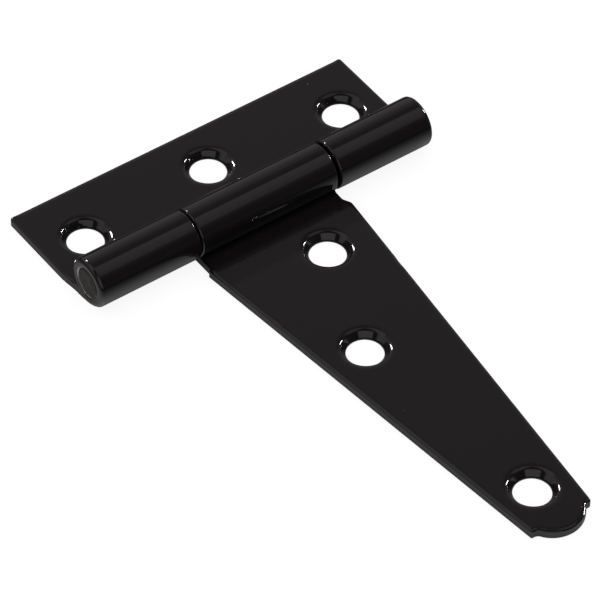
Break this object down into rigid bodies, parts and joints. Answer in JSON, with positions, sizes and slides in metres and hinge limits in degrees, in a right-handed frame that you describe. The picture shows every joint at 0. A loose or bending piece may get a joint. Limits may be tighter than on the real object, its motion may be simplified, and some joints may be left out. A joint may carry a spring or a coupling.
{
  "type": "t hinge",
  "caption": "Light tee hinge: a wide fixed leaf and a long tapered strap leaf, both rolled from black-enamelled sheet steel round one fixed pin.",
  "frame": {"origin": "in the mounting plane at the backs of both leaves, straight under the middle of the pin axis", "axes": "X along the pin; +Y towards the butt leaf's back edge, -Y towards the strap's nose; +Z out of the countersunk fronts, away from the surface the leaves are screwed to"},
  "size_m": [0.0602, 0.0962, 0.008],
  "materials": {
    "enamel": "gloss black enamel with rounded, slightly lighter sheared edges",
    "pin_steel": "plain steel wire, dull, with paint and light tarnish at its ends"
  },
  "bodies": {
    "butt": {"butt_leaf": "enamel", "hinge_pin": "pin_steel"},
    "strap": {"strap_leaf": "enamel"}
  },
  "joints": [
    {"name": "strap_swing", "type": "hinge", "parent": "butt", "child": "strap", "pos_m": [0, 0, 0.004], "axis": [-1, 0, 0], "range_deg": [-90, 190]}
  ]
}
